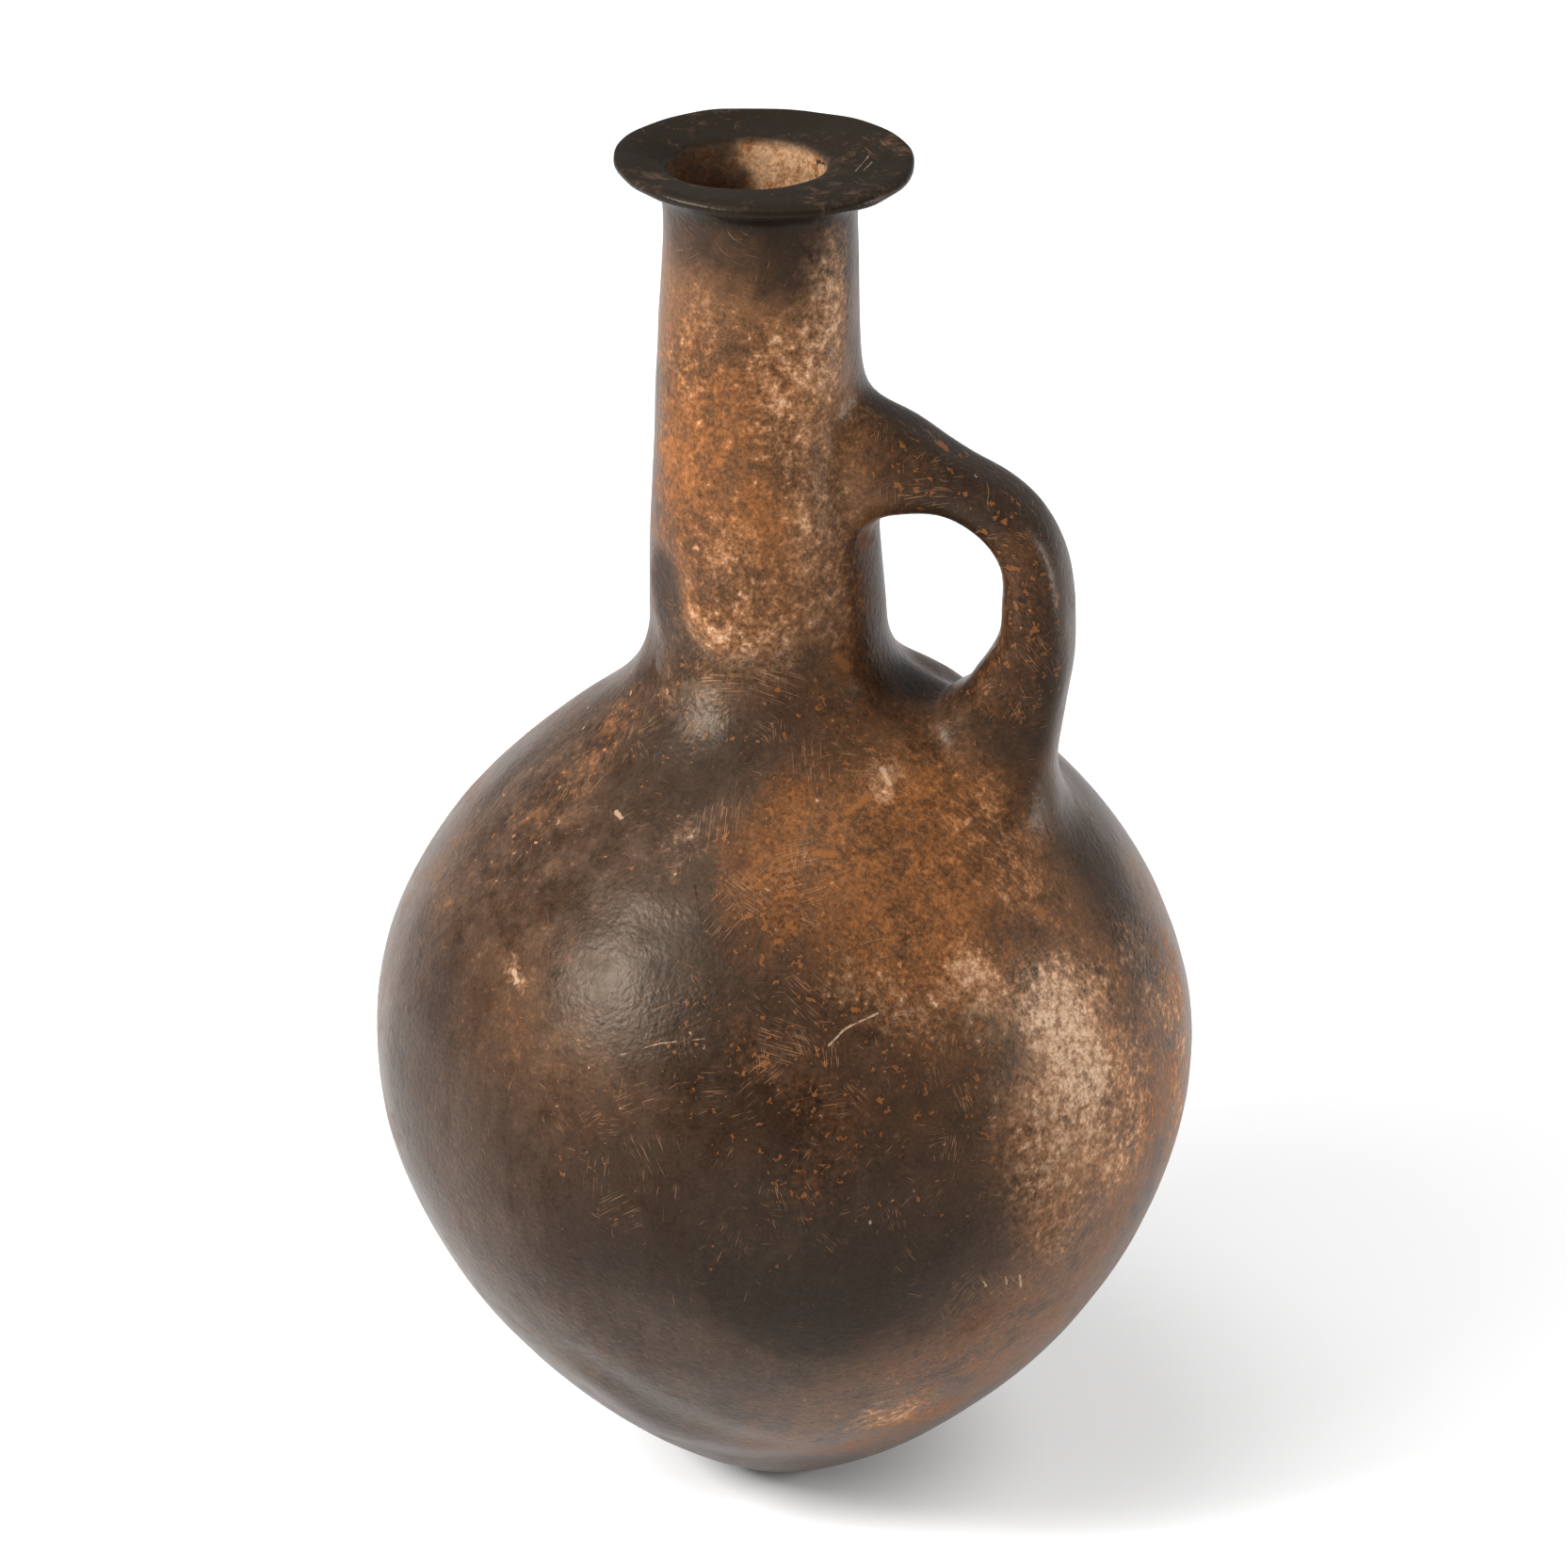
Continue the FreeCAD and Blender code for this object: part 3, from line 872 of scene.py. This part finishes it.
    # fine mottling, then pale and rusty flakes where it is worn
    mottle = total(1.0, times(middling, 0.16), times(small, 0.12), times(flaky, 0.14),
                   times(fine, 0.22), times(gritty, 0.14))
    base = node("ShaderNodeVectorMath", {0: base, "Scale": mottle}, operation="SCALE")
    flakes = steps(total(flaky, times(fine, 0.35), times(worn, 0.6), times(tan, 0.3),
                         times(sootAndShade, -0.4)), 1.3, 1.55)
    paleTone = blend(steps(small, -0.6, 0.8), clay["peach"], clay["cream"])
    base = blend(times(flakes, cover["flakes"]), base, paleTone)
    rusty = steps(total(times(flaky, -1.0), times(fine, 0.3), times(worn, 0.45),
                        times(orange, 0.4), times(sootAndShade, 0.1)), 1.2, 1.4)
    base = blend(times(rusty, cover["flakes"]), base, clay["rust"])

    # scratches run in sheaves: each cell of clay has its own direction and its own strokes
    normal = node("ShaderNodeNewGeometry", {}, "Normal")

    def sheaves(size, thin, long, seed):
        where, level = moved(seed), clay["scratched"]
        cells = node("ShaderNodeTexVoronoi", {"Vector": where, "Scale": 1000 / size}, 1).node
        heading = vector("SUBTRACT", cells.outputs["Color"], (0.5, 0.5, 0.3))
        across = vector("NORMALIZE", vector("CROSS_PRODUCT", normal, heading))
        along = vector("CROSS_PRODUCT", normal, across)
        off = vector("SUBTRACT", where, cells.outputs["Position"])
        run = vector("DOT_PRODUCT", off, along, out=1)
        side = calc("MULTIPLY_ADD", calc("MULTIPLY", run, run), clay["bend"],
                    vector("DOT_PRODUCT", off, across, out=1))
        hair = node("ShaderNodeCombineXYZ",
                    {0: times(side, 1000 / thin), 1: times(run, 1000 / long)})
        lines = node("ShaderNodeTexNoise", {"Vector": hair, "Scale": 1.0, "Detail": 1.0},
                     noise_dimensions="2D")
        nearby = steps(cells.outputs["Distance"], 0.6, 0.2)
        amount = total(times(worn, 0.3), times(middling, 0.12), times(small, 0.1),
                       times(nearby, 0.2))
        return times(steps(total(times(lines, 2.0), amount), level, level + 0.25), nearby)

    strokes = calc("MAXIMUM", *[sheaves(*sheaf) for sheaf in clay["sheaves"]])
    base = blend(times(strokes, cover["strokes"]), base, clay["peach"])

    # the rim is smoked black, brown where it is rubbed
    rimTone = blend(steps(total(times(middling, 0.7), times(small, 0.7), times(fine, 0.5)),
                          0.1, 1.8), clay["rimBlack"], clay["rimBrown"])
    rimWear = times(calc("MAXIMUM", flakes, strokes), cover["strokes"])
    rimTone = blend(rimWear, rimTone, clay["peach"])
    outside = calc("SUBTRACT", 1.0, inside)
    base = blend(calc("MULTIPLY", times(rim, cover["rim"]), outside), base, rimTone)

    # single marks
    found = {}
    for kind, line, width in clayMarks:
        spots = [seenAt(piece, x, y) for x, y in line]
        for a, b in zip(spots, spots[1:]):
            # distance from the stretch from a to b, in half widths
            run = b - a
            off = vector("SUBTRACT", place, tuple(a))
            along = vector("DOT_PRODUCT", off, tuple(run / run.length_squared), out=1)
            share = calc("ADD", along, 0.0, clamp=True)
            nearest = node("ShaderNodeVectorMath", {0: tuple(run), "Scale": share},
                           operation="SCALE")
            distance = vector("LENGTH", vector("SUBTRACT", off, nearest), out=1)
            distance = times(distance, 1 / (width * mm))
            found[kind] = calc("MINIMUM", found[kind], distance) if kind in found else distance
    for kind, tone in (("rusty", "rust"), ("pale", "cream"), ("hole", "sootAndShade")):
        ragged = total(found[kind], times(fine, 0.45), times(flaky, 0.5))
        base = blend(times(steps(ragged, 1.1, 0.5), cover[kind]), base, clay[tone])
    tree.links.new(base, shader.inputs["Base Color"])

    # burnished where the slip is whole, dull where it is worn and on top of the rim
    upward = node("ShaderNodeSeparateXYZ", {0: normal}, 2)
    onRim = calc("MULTIPLY", rim, steps(upward, 0.6, 0.95))
    dull = total(times(tanMask, 0.6), times(orangeMask, 0.35), times(flakes, 0.5),
                 times(middling, 0.2), times(small, 0.15), onRim, inside)
    ends = {"Value": dull, "To Min": clay["burnished"], "To Max": clay["dull"]}
    tree.links.new(node("ShaderNodeMapRange", ends), shader.inputs["Roughness"])
    shader.inputs["Specular IOR Level"].default_value = clay["gloss"]
    shader.inputs["Specular Tint"].default_value = clay["sheen"]

    # the height in mm has few nodes of its own, because the shader reads it three times
    bumps = clay["bumps"]
    lumps, sand = grain(5.0, 2.0, moved(12.0)), grain(1.0, 1.0, moved(3.0))
    coarse = total(bumps["sand"], times(tan, bumps["tan"]), times(orange, bumps["orange"]))
    height = total(times(lumps, bumps["lumps"]), calc("MULTIPLY", sand, coarse),
                   times(steps(lumps, 0.9, 1.4), bumps["pits"]))
    bump = node("ShaderNodeBump", {"Strength": 1.0, "Distance": mm, "Height": height})
    tree.links.new(bump, shader.inputs["Normal"])
    print("clay material:", len(tree.nodes), "nodes")
    return material


jugPiece = buildJug()
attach(jugPiece, "root")
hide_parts("jug")
bpy.context.view_layer.update()
jugTree = kdtree.KDTree(len(jugPiece.data.vertices))
for vert in jugPiece.data.vertices:
    jugTree.insert(vert.co, vert.index)
jugTree.balance()
workClay(jugPiece, jugTree)
paintPatches(jugPiece, jugTree)
jugPiece.data.materials.clear()
jugPiece.data.materials.append(clayMaterial(jugPiece))

# softboxes, in metres and watts; they stand at a turn in degrees, from the viewer's right at 0
# round by the viewer at 90 to the left at 180
studio = {
    "lamps": (
        {"name": "left_box", "turn": 150, "height": 1.25, "distance": 1.5,
         "size": (0.4, 0.45), "power": 42},
        {"name": "left_halo", "turn": 150, "height": 1.3, "distance": 1.55,
         "size": (1.2, 1.2), "power": 24},
        {"name": "right_box", "turn": 6, "height": 0.40, "distance": 1.4,
         "size": (0.35, 0.6), "power": 15},
        {"name": "top_box", "turn": 170, "height": 2.0, "distance": 0.4,
         "size": (1.3, 1.1), "power": 15},
    ),
    "lampAim": 0.2,             # height that the lamps look at
    "worldStrength": 0.16,      # of the light that falls on things
    "backgroundStrength": 0.6,  # and of the white that the camera sees
    "floorSize": 14.0,
    "floorTone": (0.74, 0.74, 0.74, 1),
    "floorRoughness": 0.9,
    "floorGloss": 0.1,
    # the floor's own light as the camera sees it: from and to a distance, rising by so much; low
    # near the foot as a painted contact shadow, and higher far off as painted light over the cast
    # shadow
    "floorLift": ((0.015, 0.08, 0.42), (0.3, 1.6, 0.50)),
}


def addLamp(lamp):
    turn = math.radians(view["turn"] - lamp["turn"])
    spot = Vector((math.cos(turn), math.sin(turn), 0)) * lamp["distance"]
    spot.z = lamp["height"]
    data = bpy.data.lights.new(lamp["name"], "AREA")
    data.shape = "RECTANGLE"
    data.size, data.size_y = lamp["size"]
    data.energy = lamp["power"]
    light = bpy.data.objects.new(lamp["name"], data)
    light.location = spot
    aim = Vector((0, 0, studio["lampAim"])) - spot
    light.rotation_euler = aim.to_track_quat("-Z", "Y").to_euler()
    bpy.context.scene.collection.objects.link(light)


def joined(tree, operation, first, second):
    # two outputs through one Math node
    made = tree.nodes.new("ShaderNodeMath")
    made.operation = operation
    tree.links.new(first, made.inputs[0])
    tree.links.new(second, made.inputs[1])
    return made.outputs[0]


def seenWhite(tree):
    # 1 for the camera and for what gloss or glass shows, 0 for light that falls on things
    path = tree.nodes.new("ShaderNodeLightPath")
    level = path.outputs["Is Camera Ray"]
    for ray in ("Is Glossy Ray", "Is Transmission Ray"):
        level = joined(tree, "MAXIMUM", level, path.outputs[ray])
    return level


def addWorld():
    world = bpy.data.worlds.new("studio")
    bpy.context.scene.world = world
    world.use_nodes = True
    tree = world.node_tree
    background = tree.nodes["Background"]
    background.inputs["Color"].default_value = (1, 1, 1, 1)
    strength = tree.nodes.new("ShaderNodeMapRange")
    strength.inputs["To Min"].default_value = studio["worldStrength"]
    strength.inputs["To Max"].default_value = studio["backgroundStrength"]
    tree.links.new(seenWhite(tree), strength.inputs["Value"])
    tree.links.new(strength.outputs[0], background.inputs["Strength"])


def addFloor():
    bm = bmesh.new()
    bmesh.ops.create_grid(bm, x_segments=1, y_segments=1, size=studio["floorSize"] / 2)
    mesh = bpy.data.meshes.new("floor")
    bm.to_mesh(mesh)
    bm.free()
    floor = bpy.data.objects.new("floor", mesh)
    bpy.context.scene.collection.objects.link(floor)
    material = bpy.data.materials.new("pale_floor")
    material.use_nodes = True
    tree = material.node_tree
    shader = tree.nodes["Principled BSDF"]
    shader.inputs["Base Color"].default_value = studio["floorTone"]
    shader.inputs["Roughness"].default_value = studio["floorRoughness"]
    shader.inputs["Specular IOR Level"].default_value = studio["floorGloss"]
    shader.inputs["Emission Color"].default_value = (1, 1, 1, 1)
    away = tree.nodes.new("ShaderNodeVectorMath")
    away.operation = "LENGTH"
    tree.links.new(tree.nodes.new("ShaderNodeTexCoord").outputs["Object"], away.inputs[0])
    # the glow rises with distance from the jug: painted shadow near the foot, painted light further
    # off
    lifts = []
    for low, high, level in studio["floorLift"]:
        rise = tree.nodes.new("ShaderNodeMapRange")
        rise.interpolation_type = "SMOOTHSTEP"
        rise.inputs["From Min"].default_value = low
        rise.inputs["From Max"].default_value = high
        rise.inputs["To Max"].default_value = level
        tree.links.new(away.outputs["Value"], rise.inputs["Value"])
        lifts.append(rise.outputs[0])
    glow = joined(tree, "MULTIPLY", joined(tree, "ADD", *lifts), seenWhite(tree))
    tree.links.new(glow, shader.inputs["Emission Strength"])
    mesh.materials.append(material)


addCamera()
for lamp in studio["lamps"]:
    addLamp(lamp)
addWorld()
addFloor()
bpy.context.scene.view_settings.view_transform = "Standard"
print("camera, lamps and floor set")
